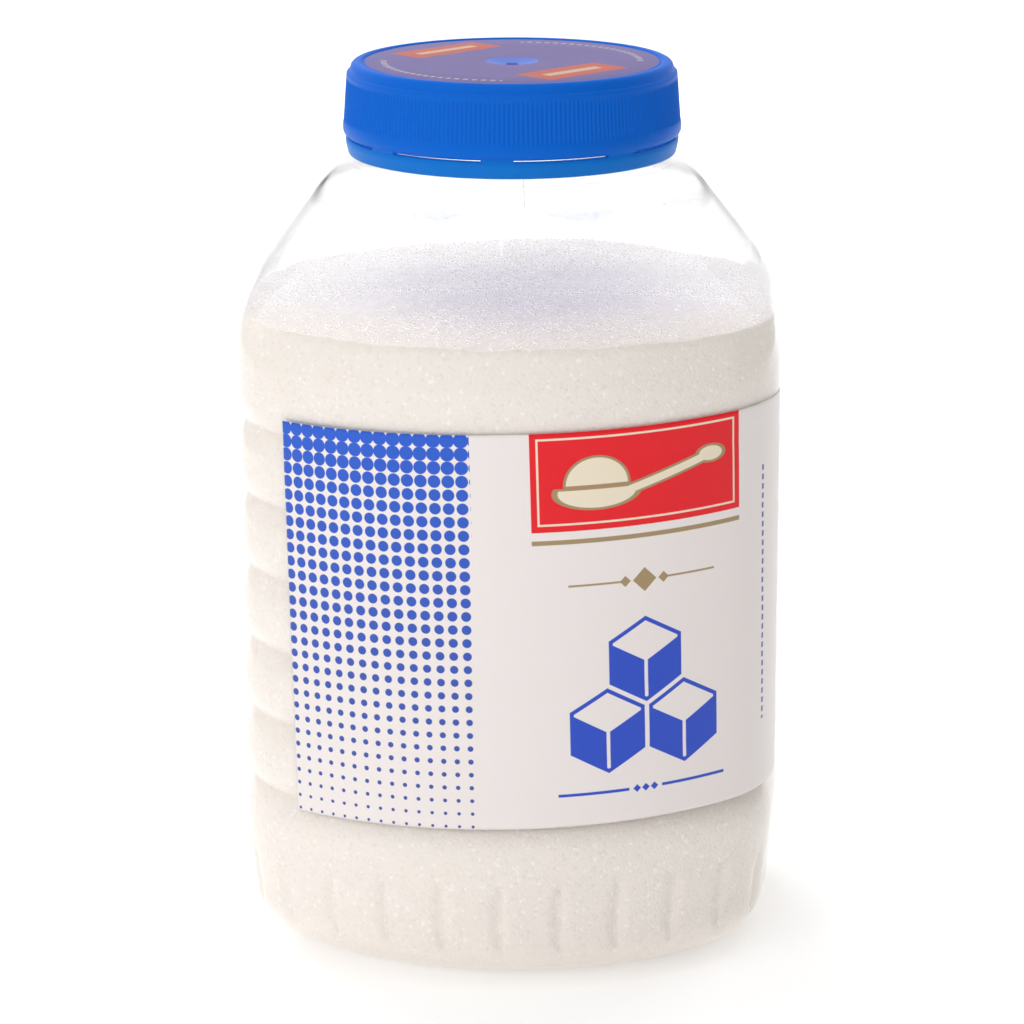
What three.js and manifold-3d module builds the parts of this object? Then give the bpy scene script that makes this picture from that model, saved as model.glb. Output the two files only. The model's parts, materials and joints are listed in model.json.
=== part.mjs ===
// A shut jar of sugar: clear blown jar, granulated sugar, blue screw cap, wrap label.
// Millimetres, +Z up. The label faces -Y, the jar stands on z = 0.
import * as THREE from 'three';
import { mergeVertices } from 'three/addons/utils/BufferGeometryUtils.js';
import Module from 'manifold-3d';

const wasm = await Module();
wasm.setup();

const DEG = Math.PI / 180;
const TURN = 2 * Math.PI;
const GAP = 0.3; // clearance kept between two pieces that touch

// ---------------------------------------------------------------- body section
// A rounded square of circular arcs: shallow front and back, corners, nearly flat sides.
const HALF = 54.5; // half width and half depth over the ribs
const FRONT_R = 70.45; // radius of the front and back arcs
const FRONT_SPAN = 38.14 * DEG; // the front arc's half angle
const CORNER_R = 25.42;
const cornerX = (FRONT_R - CORNER_R) * Math.sin(FRONT_SPAN);
const cornerY = FRONT_R - HALF - (FRONT_R - CORNER_R) * Math.cos(FRONT_SPAN);
const cornerToSide = HALF - cornerX;
const SIDE_R =
  (cornerToSide ** 2 + cornerY ** 2 - CORNER_R ** 2) / (2 * (cornerToSide - CORNER_R));
const SIDE_SPAN = Math.asin(-cornerY / (SIDE_R - CORNER_R));
const CORNER_END = Math.PI / 2 - SIDE_SPAN; // the normal's angle where corner meets side

// A quarter of the section, by the angle of its normal from -Y towards +X.
function quarterPoint(angle) {
  const nx = Math.sin(angle);
  const ny = -Math.cos(angle);
  if (angle <= FRONT_SPAN) {
    return [FRONT_R * nx, FRONT_R - HALF + FRONT_R * ny];
  }
  if (angle <= CORNER_END) {
    return [cornerX + CORNER_R * nx, cornerY + CORNER_R * ny];
  }
  return [HALF - SIDE_R + SIDE_R * nx, SIDE_R * ny];
}

// The whole section from one quarter, with the unit normal at the point.
function sectionPoint(angle) {
  const nx = Math.sin(angle);
  const ny = -Math.cos(angle);
  const folded = Math.atan2(Math.abs(nx), Math.abs(ny));
  const [x, y] = quarterPoint(folded);
  return { x: x * (nx < 0 ? -1 : 1), y: y * (ny > 0 ? -1 : 1), nx, ny };
}

// Arc length from the front centre, and back again to the normal's angle.
const FRONT_ARC = FRONT_R * FRONT_SPAN;
const CORNER_ARC = CORNER_R * (CORNER_END - FRONT_SPAN);
const SIDE_ARC = SIDE_R * SIDE_SPAN;
const QUARTER_ARC = FRONT_ARC + CORNER_ARC + SIDE_ARC;

function quarterAngle(arc) {
  if (arc <= FRONT_ARC) return arc / FRONT_R;
  if (arc <= FRONT_ARC + CORNER_ARC) return FRONT_SPAN + (arc - FRONT_ARC) / CORNER_R;
  return CORNER_END + (arc - FRONT_ARC - CORNER_ARC) / SIDE_R;
}

function angleAtArc(arc) {
  const turns = Math.floor(arc / (4 * QUARTER_ARC));
  const along = arc - turns * 4 * QUARTER_ARC;
  const quarter = Math.floor(along / QUARTER_ARC);
  const rest = along - quarter * QUARTER_ARC;
  const folded =
    quarter % 2 === 0 ? quarterAngle(rest) : Math.PI / 2 - quarterAngle(QUARTER_ARC - rest);
  return (turns * 4 + quarter) * (Math.PI / 2) + folded;
}

// Normal angles for one turn: finer on the corners, so every facet bows about the same.
const FRONT_STEPS = 5;
const CORNER_STEPS = 4;
const SIDE_STEPS = 2;
const quarterAngles = [];
for (let i = 0; i < FRONT_STEPS; i++) quarterAngles.push((FRONT_SPAN * i) / FRONT_STEPS);
for (let i = 0; i < CORNER_STEPS; i++) {
  quarterAngles.push(FRONT_SPAN + ((CORNER_END - FRONT_SPAN) * i) / CORNER_STEPS);
}
for (let i = 0; i < SIDE_STEPS; i++) {
  quarterAngles.push(CORNER_END + (SIDE_SPAN * i) / SIDE_STEPS);
}
const halfTurn = [
  ...quarterAngles,
  Math.PI / 2,
  ...quarterAngles.slice(1).reverse().map((angle) => Math.PI - angle),
];
const wallAngles = [...halfTurn, ...halfTurn.map((angle) => angle + Math.PI)];

// Base angles: thirty flutes of equal arc, one at the front centre, four points each.
const FLUTES = 30;
const FLUTE_HALF_WIDTH = 2.0;
const FLUTE_DEPTH = 0.6;
const flutePitch = (4 * QUARTER_ARC) / FLUTES;
const baseAngles = [];
const isFluteBottom = [];
for (let i = 0; i < FLUTES; i++) {
  const centre = i * flutePitch;
  const arcs = [centre, centre + FLUTE_HALF_WIDTH, centre + flutePitch / 2];
  arcs.push(centre + flutePitch - FLUTE_HALF_WIDTH);
  for (const arc of arcs) {
    baseAngles.push(angleAtArc(arc));
    isFluteBottom.push(arc === centre);
  }
}

// ---------------------------------------------------------------- rings and lofts
const NECK_R = 32.8; // radius where the shoulder's cone reaches the neck

// A ring that keeps the section's form, moved in or out along its normals.
function offsetRing(halfWidth, z, angles = wallAngles, depthAt = () => 0) {
  return angles.map((angle, i) => {
    const p = sectionPoint(angle);
    const off = halfWidth - HALF - depthAt(i);
    return [p.x + off * p.nx, p.y + off * p.ny, z];
  });
}

// A ring between the neck's circle and the section, by its half width.
function shoulderRing(halfWidth, z) {
  const share = Math.max(0, (halfWidth - NECK_R) / (HALF - NECK_R));
  const radius = share > 0 ? NECK_R : halfWidth;
  return wallAngles.map((angle) => {
    const p = sectionPoint(angle);
    return [
      (1 - share) * radius * p.nx + share * p.x,
      (1 - share) * radius * p.ny + share * p.y,
      z,
    ];
  });
}

// A smaller copy of a ring about the axis, for the base's push-up and the sugar's top.
function scaledRing(ring, share, z) {
  return ring.map(([x, y]) => [x * share, y * share, z]);
}

// A closed surface through rings in order. A ring of one point is a pole; two rings of
// different counts are zipped together by the direction of their points.
function loft(rings) {
  const positions = [];
  const starts = rings.map((ring) => {
    const start = positions.length / 3;
    for (const point of ring) positions.push(...point);
    return start;
  });
  const faces = [];
  const turnOf = ([x, y]) => (Math.atan2(x, -y) + TURN) % TURN;
  for (let k = 0; k + 1 < rings.length; k++) {
    const [low, high] = [rings[k], rings[k + 1]];
    const [a, b] = [starts[k], starts[k + 1]];
    if (low.length === 1) {
      high.forEach((_, i) => faces.push(a, b + ((i + 1) % high.length), b + i));
    } else if (high.length === 1) {
      low.forEach((_, i) => faces.push(a + i, a + ((i + 1) % low.length), b));
    } else if (low.length === high.length) {
      low.forEach((_, i) => {
        const j = (i + 1) % low.length;
        faces.push(a + i, a + j, b + j, a + i, b + j, b + i);
      });
    } else {
      zip(low, high, a, b, turnOf, faces);
    }
  }
  const geometry = new THREE.BufferGeometry();
  geometry.setAttribute('position', new THREE.Float32BufferAttribute(positions, 3));
  geometry.setIndex(faces);
  return geometry;
}

// The first point of both rings faces the front, so the turns can be walked together.
function zip(low, high, a, b, turnOf, faces) {
  const turnsFrom = (ring) => ring.map((point, i) => (i === 0 ? 0 : turnOf(point)));
  const lowTurns = [...turnsFrom(low), TURN];
  const highTurns = [...turnsFrom(high), TURN];
  let i = 0;
  let j = 0;
  while (i < low.length || j < high.length) {
    const [nextI, nextJ] = [(i + 1) % low.length, (j + 1) % high.length];
    const stepLow = j >= high.length || (i < low.length && lowTurns[i + 1] <= highTurns[j + 1]);
    const [atLow, atHigh] = [a + (i % low.length), b + (j % high.length)];
    if (stepLow) {
      faces.push(atLow, a + nextI, atHigh);
      i += 1;
    } else {
      faces.push(atLow, b + nextJ, atHigh);
      j += 1;
    }
  }
}

// ---------------------------------------------------------------- the jar's upright profile
// The round heel, from the flat ring that the jar stands on up to the flared base.
const HEEL_PROFILE = [
  { z: 0, half: 38.0 },
  { z: 1.0, half: 41.8 },
  { z: 2.5, half: 45.8 },
  { z: 4.5, half: 48.9 },
  { z: 7.0, half: 51.1 },
];
// Half widths of the flared base over height, read between named points.
const BASE_TOP_Z = 26.9;
const BASE_PROFILE = [
  { z: 7.0, half: 51.1 },
  { z: 10.0, half: 52.4 },
  { z: 13.2, half: 52.9 },
  { z: 21.0, half: 53.9 },
  { z: BASE_TOP_Z, half: 54.4 },
];
function baseHalf(z) {
  const i = Math.max(1, BASE_PROFILE.findIndex((point) => z <= point.z));
  const [low, high] = [BASE_PROFILE[i - 1], BASE_PROFILE[i]];
  return low.half + ((high.half - low.half) * (z - low.z)) / (high.z - low.z);
}
const FOOT_INNER = 34.5; // half width of the flat ring's inner edge
const PUSH_UP = 4.2; // rise of the base's middle
const PUSH_UP_STEPS = [
  { share: 0.4, rise: 0.9 },
  { share: 0.8, rise: 0.5 },
];
// Rings that the flutes run through, and how much of their depth they have there.
const FLUTE_RINGS = [
  { z: 9.0, depth: 0 },
  { z: 11.0, depth: FLUTE_DEPTH },
  { z: 19.4, depth: FLUTE_DEPTH },
  { z: 21.6, depth: 0 },
];

// Six sharp grooves between rounded ribs.
const GROOVES = 6;
const GROOVE_TOP_Z = 108.6;
const GROOVE_PITCH = 14.65;
const GROOVE_DEPTH = 2.1;
const GROOVE_HALF = 3.0; // height from a groove's bottom to its lip
const LIP_DROP = 0.3; // how far the lip lies under the rib's crest
const grooveZs = [];
for (let k = GROOVES - 1; k >= 0; k--) grooveZs.push(GROOVE_TOP_Z - k * GROOVE_PITCH);

// Bulge over the ribs, rounded into the straight cone of the shoulder.
const BULGE_HALF = 54.6;
const BULGE_LOW_Z = 113.6;
const BULGE_HIGH_Z = 119.45;
const SHOULDER_R = 29.0;
const CONE_LEAN = 37.3 * DEG;
const CONE_TOP_Z = 154.2;
const SHOULDER_STEPS = 4;
const coneLowZ = BULGE_HIGH_Z + SHOULDER_R * Math.sin(CONE_LEAN);
const coneLowHalf = BULGE_HALF - SHOULDER_R * (1 - Math.cos(CONE_LEAN));
const coneTopHalf = coneLowHalf - (CONE_TOP_Z - coneLowZ) * Math.tan(CONE_LEAN);

// Neck: a root, the clear support ring under the cap, and the plain tube inside the cap.
const ROOT_R = 32.2;
const ROOT_DROP = 0.5; // height of the narrow root under the support ring
const RING_BEVEL = 0.1;
const RING_LOW_Z = 156.0;
const RING_HIGH_Z = 157.1;
const TUBE_R = 30.0;
const RIM_Z = 172.4;
const RIM_ROUND = 0.3;

// Walls: thick in the base, thin above, as a blown jar is.
const BASE_WALL = 1.5;
const WALL = 0.7;
const coneWall = WALL / Math.cos(CONE_LEAN);
const TUBE_WALL = 1.4;
const CONE_INNER_DROP = 1; // how far under the cone's top its inner face starts
// The inside over the heel, from the flared base down to the floor.
const INNER_FLARE_ZS = [20.8, 10.0];
const INNER_HEEL = [
  { z: 6.2, half: 48.4 },
  { z: 3.2, half: 44.6 },
  { z: BASE_WALL, half: 39.8 },
];

function shoulderArc(share, shrink) {
  const angle = CONE_LEAN * share;
  return {
    half: BULGE_HALF - (SHOULDER_R + shrink) * (1 - Math.cos(angle)) - shrink * Math.cos(angle),
    z: BULGE_HIGH_Z + SHOULDER_R * Math.sin(angle),
  };
}

function outerRings() {
  const rings = [[[0, 0, PUSH_UP]]];
  const foot = offsetRing(FOOT_INNER, 0);
  for (const { share, rise } of PUSH_UP_STEPS) {
    rings.push(scaledRing(foot, share, PUSH_UP * rise));
  }
  rings.push(foot);
  for (const { z, half } of HEEL_PROFILE) rings.push(offsetRing(half, z));
  for (const { z, depth } of FLUTE_RINGS) {
    const depthAt = (i) => (isFluteBottom[i] ? depth : 0);
    rings.push(offsetRing(baseHalf(z), z, baseAngles, depthAt));
  }
  rings.push(offsetRing(baseHalf(BASE_TOP_Z), BASE_TOP_Z));
  grooveZs.forEach((z, k) => {
    if (k > 0) rings.push(offsetRing(HALF, z - GROOVE_PITCH / 2));
    rings.push(offsetRing(HALF - LIP_DROP, z - GROOVE_HALF));
    rings.push(offsetRing(HALF - GROOVE_DEPTH, z));
    rings.push(offsetRing(HALF - LIP_DROP, z + GROOVE_HALF));
  });
  rings.push(offsetRing(BULGE_HALF, BULGE_LOW_Z));
  for (let i = 0; i <= SHOULDER_STEPS; i++) {
    const { half, z } = shoulderArc(i / SHOULDER_STEPS, 0);
    rings.push(half > HALF ? offsetRing(half, z) : shoulderRing(half, z));
  }
  rings.push(shoulderRing(coneTopHalf, CONE_TOP_Z));
  rings.push(shoulderRing(NECK_R, RING_LOW_Z - ROOT_DROP));
  rings.push(shoulderRing(ROOT_R, RING_LOW_Z));
  rings.push(shoulderRing(NECK_R, RING_LOW_Z + RING_BEVEL));
  rings.push(shoulderRing(NECK_R, RING_HIGH_Z));
  rings.push(shoulderRing(TUBE_R, RING_HIGH_Z + RING_BEVEL));
  rings.push(shoulderRing(TUBE_R, RIM_Z - RIM_ROUND));
  rings.push(shoulderRing(TUBE_R - RIM_ROUND, RIM_Z));
  return rings;
}

// The inner face, from the rim down to the floor's middle. The sugar follows it, closer in.
function innerRings(shrink) {
  const rings = [];
  for (let i = SHOULDER_STEPS; i >= 0; i--) {
    const { half, z } = shoulderArc(i / SHOULDER_STEPS, shrink);
    rings.push(shoulderRing(half, z));
  }
  rings.push(offsetRing(BULGE_HALF - shrink, BULGE_LOW_Z));
  [...grooveZs].reverse().forEach((z) => {
    rings.push(offsetRing(HALF - LIP_DROP / 2 - shrink, z + GROOVE_HALF));
    rings.push(offsetRing(HALF - GROOVE_DEPTH - shrink, z));
    rings.push(offsetRing(HALF - LIP_DROP / 2 - shrink, z - GROOVE_HALF));
  });
  rings.push(offsetRing(baseHalf(BASE_TOP_Z) - shrink, BASE_TOP_Z));
  const closer = shrink - WALL;
  for (const z of INNER_FLARE_ZS) rings.push(offsetRing(baseHalf(z) - BASE_WALL - closer, z));
  for (const { z, half } of INNER_HEEL) rings.push(offsetRing(half - closer, z + closer));
  const floor = rings[rings.length - 1];
  const floorZ = BASE_WALL + closer;
  for (const { share, rise } of [...PUSH_UP_STEPS].reverse()) {
    rings.push(scaledRing(floor, share, floorZ + PUSH_UP * rise));
  }
  rings.push([[0, 0, floorZ + PUSH_UP]]);
  return rings;
}

function jarGeometry() {
  const bore = TUBE_R - TUBE_WALL;
  return loft([
    ...outerRings(),
    shoulderRing(bore + RIM_ROUND, RIM_Z),
    shoulderRing(bore, RIM_Z - RIM_ROUND),
    shoulderRing(bore, RING_LOW_Z),
    shoulderRing(coneTopHalf - coneWall, CONE_TOP_Z - CONE_INNER_DROP),
    ...innerRings(WALL),
  ]);
}

// ---------------------------------------------------------------- sugar
// The core fills the jar to an uneven level: lower at the back left, heaped at the back.
const SUGAR_Z = 129.0;
const SUGAR_DIP = { x: -26, y: 40, reach: 22, height: -0.8 };
const SUGAR_HEAP = { x: 10, y: 42, reach: 20, height: 0.7 };
const RELIEF = 0.35; // height of the small heaps and hollows
const RELIEF_WAVE = 9; // their size across
const TOP_SHARES = [0.92, 0.78, 0.63, 0.48, 0.32, 0.16]; // rings of the top, inwards
const TOP_CLEAR = 1; // height kept free of wall rings at the sugar's level

function sugarHeight(x, y) {
  let z = SUGAR_Z;
  for (const spot of [SUGAR_DIP, SUGAR_HEAP]) {
    const away = ((x - spot.x) ** 2 + (y - spot.y) ** 2) / spot.reach ** 2;
    z += spot.height * Math.exp(-away);
  }
  const [u, v] = [(x * TURN) / RELIEF_WAVE, (y * TURN) / RELIEF_WAVE];
  const bumps = Math.sin(u + 1.3 * Math.sin(0.7 * v)) + Math.sin(0.8 * v + Math.sin(0.6 * u));
  return z + (RELIEF / 2) * bumps;
}

function sugarGeometry() {
  const shrink = WALL + GAP;
  const wall = innerRings(shrink);
  const below = wall.filter((ring) => ring[0][2] < SUGAR_Z - 2 * RELIEF - TOP_CLEAR).reverse();
  const above = wall.filter((ring) => ring[0][2] >= SUGAR_Z + TOP_CLEAR);
  const [low, high] = [below[below.length - 1], above[above.length - 1]];
  const share = (SUGAR_Z - low[0][2]) / (high[0][2] - low[0][2]);
  const edge = low.map(([x, y], i) => {
    const [ex, ey] = [x + (high[i][0] - x) * share, y + (high[i][1] - y) * share];
    return [ex, ey, sugarHeight(ex, ey)];
  });
  const top = TOP_SHARES.map((part) =>
    edge.map(([x, y]) => [x * part, y * part, sugarHeight(x * part, y * part)]),
  );
  return loft([...below, edge, ...top, [[0, 0, sugarHeight(0, 0)]]]);
}

// ---------------------------------------------------------------- label
// A thin sleeve over the ribs: across the front, round the right corner, a little tilted.
const LABEL_LEFT = -44.4; // arc from the front centre
const LABEL_RIGHT = 67.7;
const LABEL_LOW_Z = 34.8; // heights at the tilt's pivot
const LABEL_HIGH_Z = 113.1;
const LABEL_PIVOT = -6.6;
const LABEL_TILT = 0.0259;
const LABEL_THICK = 0.25;
const LABEL_STEPS = 26;

function labelGeometry() {
  const inner = [];
  const outer = [];
  for (let i = 0; i <= LABEL_STEPS; i++) {
    const arc = LABEL_LEFT + ((LABEL_RIGHT - LABEL_LEFT) * i) / LABEL_STEPS;
    const p = sectionPoint(angleAtArc(arc));
    const lift = (arc - LABEL_PIVOT) * LABEL_TILT;
    for (const z of [LABEL_LOW_Z, LABEL_HIGH_Z]) {
      const [near, far] = [GAP, GAP + LABEL_THICK];
      const lean = -(z - (LABEL_LOW_Z + LABEL_HIGH_Z) / 2) * LABEL_TILT;
      const q = sectionPoint(angleAtArc(arc + lean));
      const top = z + lift;
      inner.push([q.x + near * p.nx, q.y + near * p.ny, top]);
      outer.push([q.x + far * p.nx, q.y + far * p.ny, top]);
    }
  }
  const columns = inner.map((_, i) => i).filter((i) => i % 2 === 0);
  return loftOpen(columns.map((i) => [inner[i], outer[i], outer[i + 1], inner[i + 1]]));
}

// A bar through equal sections, closed flat at both ends.
function loftOpen(sections) {
  const positions = sections.flat(2);
  const count = sections[0].length;
  const faces = [0, 1, 2, 0, 2, 3];
  for (let k = 0; k + 1 < sections.length; k++) {
    const [a, b] = [k * count, (k + 1) * count];
    for (let i = 0; i < count; i++) {
      const j = (i + 1) % count;
      faces.push(a + i, b + i, b + j, a + i, b + j, a + j);
    }
  }
  const last = (sections.length - 1) * count;
  faces.push(last, last + 2, last + 1, last, last + 3, last + 2);
  const geometry = new THREE.BufferGeometry();
  geometry.setAttribute('position', new THREE.Float32BufferAttribute(positions, 3));
  geometry.setIndex(faces);
  return geometry;
}

// ---------------------------------------------------------------- cap
// One moulding: flat top inside a narrow groove and rim, skirt with a bead, and a band
// hanging from it by eight short bridges.
const CAP_SEGMENTS = 60;
const CAP_TOP_Z = 175.4;
const DISC_Z = 175.2; // the printed disc inside the rim
const DIMPLE_DEPTH = 0.7;
const RIM_GROOVE = 0.3;
const CAP_PROFILE = [
  [0, DISC_Z - DIMPLE_DEPTH],
  [2.2, DISC_Z - DIMPLE_DEPTH],
  [5.1, DISC_Z],
  [28.9, DISC_Z],
  [29.35, DISC_Z - RIM_GROOVE],
  [29.8, CAP_TOP_Z],
  [30.7, CAP_TOP_Z],
  [31.7, CAP_TOP_Z - 0.9],
  [31.8, 173.6],
  [32.5, 173.3],
  [33.1, 165.2],
  [33.35, 163.6],
  [33.35, 161.7],
  [32.6, 161.1],
  [32.6, 160.7],
  [32.9, 160.3],
  [32.35, 157.5],
  [31.35, 157.5],
  [31.35, 171.6],
  [30.4, 172.7],
  [0, 172.7],
];
const SLITS = 8;
const SLIT_START = 3.4 * DEG; // turn of the first slit's end, from the front towards +X
const SLIT_SPAN = 34 * DEG;
const SLIT_Z = 160.72;
const SLIT_HEIGHT = 0.36;
const SLIT_INNER = 30.6;
const SLIT_OUTER = 34.0;
const SLIT_STEPS = 6;

function toManifold(geometry) {
  const bare = geometry.clone();
  bare.deleteAttribute('normal');
  bare.deleteAttribute('uv');
  const merged = mergeVertices(bare, 1e-4);
  return new wasm.Manifold(
    new wasm.Mesh({
      numProp: 3,
      vertProperties: new Float32Array(merged.attributes.position.array),
      triVerts: new Uint32Array(merged.index.array),
    }),
  );
}

function fromManifold(solid) {
  const mesh = solid.getMesh();
  const geometry = new THREE.BufferGeometry();
  const positions = new Float32Array(mesh.vertProperties);
  geometry.setAttribute('position', new THREE.BufferAttribute(positions, 3));
  geometry.setIndex(new THREE.BufferAttribute(new Uint32Array(mesh.triVerts), 1));
  return geometry;
}

function slitGeometry(start) {
  const shape = new THREE.Shape();
  for (let i = 0; i <= SLIT_STEPS; i++) {
    const turn = start + (SLIT_SPAN * i) / SLIT_STEPS;
    const [x, y] = [Math.sin(turn) * SLIT_OUTER, -Math.cos(turn) * SLIT_OUTER];
    if (i === 0) shape.moveTo(x, y);
    else shape.lineTo(x, y);
  }
  for (let i = SLIT_STEPS; i >= 0; i--) {
    const turn = start + (SLIT_SPAN * i) / SLIT_STEPS;
    shape.lineTo(Math.sin(turn) * SLIT_INNER, -Math.cos(turn) * SLIT_INNER);
  }
  const cut = new THREE.ExtrudeGeometry(shape, { depth: SLIT_HEIGHT, bevelEnabled: false });
  return cut.translate(0, 0, SLIT_Z);
}

function capGeometry() {
  const points = CAP_PROFILE.map(([r, z]) => new THREE.Vector2(r, z)).reverse();
  const turned = new THREE.LatheGeometry(points, CAP_SEGMENTS).rotateX(Math.PI / 2);
  let solid = toManifold(turned);
  for (let i = 0; i < SLITS; i++) {
    solid = solid.subtract(toManifold(slitGeometry(SLIT_START + (TURN * i) / SLITS)));
  }
  return fromManifold(solid);
}

// ---------------------------------------------------------------- the part
function mesh(name, geometry, color, roughness, extra = {}) {
  geometry.computeVertexNormals();
  const material = new THREE.MeshStandardMaterial({ color, roughness, metalness: 0, ...extra });
  const piece = new THREE.Mesh(geometry, material);
  piece.name = name;
  return piece;
}

const jarOfSugar = new THREE.Group();
const clear = { transparent: true, opacity: 0.3 };
jarOfSugar.add(mesh('jar', jarGeometry(), 0xf2f6f8, 0.08, clear));
jarOfSugar.add(mesh('sugar', sugarGeometry(), 0xf1e8df, 0.85));
jarOfSugar.add(mesh('label', labelGeometry(), 0xece4e1, 0.35));
jarOfSugar.add(mesh('cap', capGeometry(), 0x1459c8, 0.4));

export default jarOfSugar;
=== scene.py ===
# %% [markdown]
# # A jar of sugar
# We dress the CAD frame of a shut jar of sugar. The real thing is a blown clear plastic jar,
# a kilogram of granulated sugar, a moulded blue screw cap and a printed film label.
# Everything is in metres, in the frame's own axes: +Z up, and the label faces -Y.

# %% Load the frame
import json
import math
import random
import bmesh
import bpy
import numpy as np
from mathutils import Matrix, Vector, noise

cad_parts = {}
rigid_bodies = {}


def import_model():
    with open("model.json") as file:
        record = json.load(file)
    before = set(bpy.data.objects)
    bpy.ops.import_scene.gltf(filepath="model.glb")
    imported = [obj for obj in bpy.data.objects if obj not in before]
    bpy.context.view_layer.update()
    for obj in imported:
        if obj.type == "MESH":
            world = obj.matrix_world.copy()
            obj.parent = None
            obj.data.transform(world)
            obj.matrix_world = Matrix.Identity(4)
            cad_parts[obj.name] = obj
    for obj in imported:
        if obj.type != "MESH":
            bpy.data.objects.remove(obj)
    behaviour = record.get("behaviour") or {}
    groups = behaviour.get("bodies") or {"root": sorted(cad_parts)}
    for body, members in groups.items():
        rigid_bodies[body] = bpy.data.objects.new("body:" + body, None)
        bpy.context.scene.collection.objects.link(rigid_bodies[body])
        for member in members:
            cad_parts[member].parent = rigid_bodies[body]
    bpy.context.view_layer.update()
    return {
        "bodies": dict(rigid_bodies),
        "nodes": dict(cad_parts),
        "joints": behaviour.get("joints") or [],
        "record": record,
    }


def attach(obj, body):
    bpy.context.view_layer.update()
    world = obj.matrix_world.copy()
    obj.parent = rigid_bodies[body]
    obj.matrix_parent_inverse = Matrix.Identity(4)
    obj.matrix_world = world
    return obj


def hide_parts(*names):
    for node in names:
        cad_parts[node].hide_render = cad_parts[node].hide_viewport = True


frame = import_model()
scene = bpy.context.scene
random.seed(7)
MM = 0.001
TURN = 2 * math.pi
print("nodes:", sorted(frame["nodes"]))

# %% [markdown]
# ## Camera
# The photograph was taken from a little to the right of the label and well above the jar.
# A long lens keeps the jar's sides nearly parallel. The place, the aim and the lens were
# worked out from the jar's outline and the circles of its cap, so we only state them here.

# %% Camera
CAMERA_AT = Vector((0.0375, -0.7033, 0.2812))
CAMERA_AZIMUTH = math.radians(3.07)
CAMERA_PITCH = math.radians(15.71)
CAMERA_ROLL = math.radians(-0.15)
CAMERA_LENS = 126.5


def add_camera():
    data = bpy.data.cameras.new("camera")
    data.sensor_width = 36.0
    data.lens = CAMERA_LENS
    data.clip_start = 0.01
    camera = bpy.data.objects.new("camera", data)
    scene.collection.objects.link(camera)
    turn = Matrix.Rotation(CAMERA_AZIMUTH, 4, "Z")
    tilt = Matrix.Rotation(math.pi / 2 - CAMERA_PITCH, 4, "X")
    roll = Matrix.Rotation(CAMERA_ROLL, 4, "Z")
    camera.matrix_world = Matrix.Translation(CAMERA_AT) @ turn @ tilt @ roll
    scene.camera = camera
    return camera


add_camera()
print("camera looks down by", round(math.degrees(CAMERA_PITCH), 2), "degrees")

# %% [markdown]
# ## The jar's plan
# Seen from above the body is a rounded square made of circular arcs: shallow ones front and
# back, nearly flat ones at the sides, and tight ones at the corners. We could draw the
# outline as points, but naming each arc keeps the true radii. The plan is walked by arc
# length, so that thirty equal flutes fit round it.

# %% Body plan
HALF = 54.5 * MM
FRONT_R = 70.45 * MM
FRONT_SPAN = math.radians(38.14)
CORNER_R = 25.42 * MM
CORNER_X = (FRONT_R - CORNER_R) * math.sin(FRONT_SPAN)
CORNER_Y = FRONT_R - HALF - (FRONT_R - CORNER_R) * math.cos(FRONT_SPAN)
TO_SIDE = HALF - CORNER_X
SIDE_R = (TO_SIDE**2 + CORNER_Y**2 - CORNER_R**2) / (2 * (TO_SIDE - CORNER_R))
SIDE_SPAN = math.asin(-CORNER_Y / (SIDE_R - CORNER_R))
CORNER_END = math.pi / 2 - SIDE_SPAN
FRONT_ARC = FRONT_R * FRONT_SPAN
CORNER_ARC = CORNER_R * (CORNER_END - FRONT_SPAN)
QUARTER_ARC = FRONT_ARC + CORNER_ARC + SIDE_R * SIDE_SPAN
ROUND = 4 * QUARTER_ARC


def quarter_angle(arc):
    """The normal's angle from -Y, for an arc length within the first quarter."""
    if arc <= FRONT_ARC:
        return arc / FRONT_R
    if arc <= FRONT_ARC + CORNER_ARC:
        return FRONT_SPAN + (arc - FRONT_ARC) / CORNER_R
    return CORNER_END + (arc - FRONT_ARC - CORNER_ARC) / SIDE_R


def plan_angle(arc):
    """The normal's angle for any arc length from the front centre, towards +X."""
    quarter, rest = divmod(arc, QUARTER_ARC)
    if quarter % 2:
        return quarter * math.pi / 2 + math.pi / 2 - quarter_angle(QUARTER_ARC - rest)
    return quarter * math.pi / 2 + quarter_angle(rest)


def plan_point(angle):
    """Point and outward normal of the plan where its normal has this angle."""
    normal = Vector((math.sin(angle), -math.cos(angle), 0))
    across, along = abs(normal.x), abs(normal.y)
    folded = math.atan2(across, along)
    if folded <= FRONT_SPAN:
        x, y = FRONT_R * across, FRONT_R * along - FRONT_R + HALF
    elif folded <= CORNER_END:
        x, y = CORNER_X + CORNER_R * across, -CORNER_Y + CORNER_R * along
    else:
        x, y = HALF - SIDE_R + SIDE_R * across, SIDE_R * along
    return Vector((math.copysign(x, normal.x), math.copysign(y, normal.y), 0)), normal


print("round the body:", round(ROUND / MM, 1), "mm")

# %% [markdown]
# ## The jar's profile
# A blow-moulded jar is the same wall everywhere, so one upright profile describes it: heel,
# flared foot, six sharp grooves between rounded ribs, a bulge, a cone and the neck. We write
# the profile as half widths over height. The heel is a quarter of a rounded square, and it
# runs into the flat ring on which the jar stands.

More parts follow.
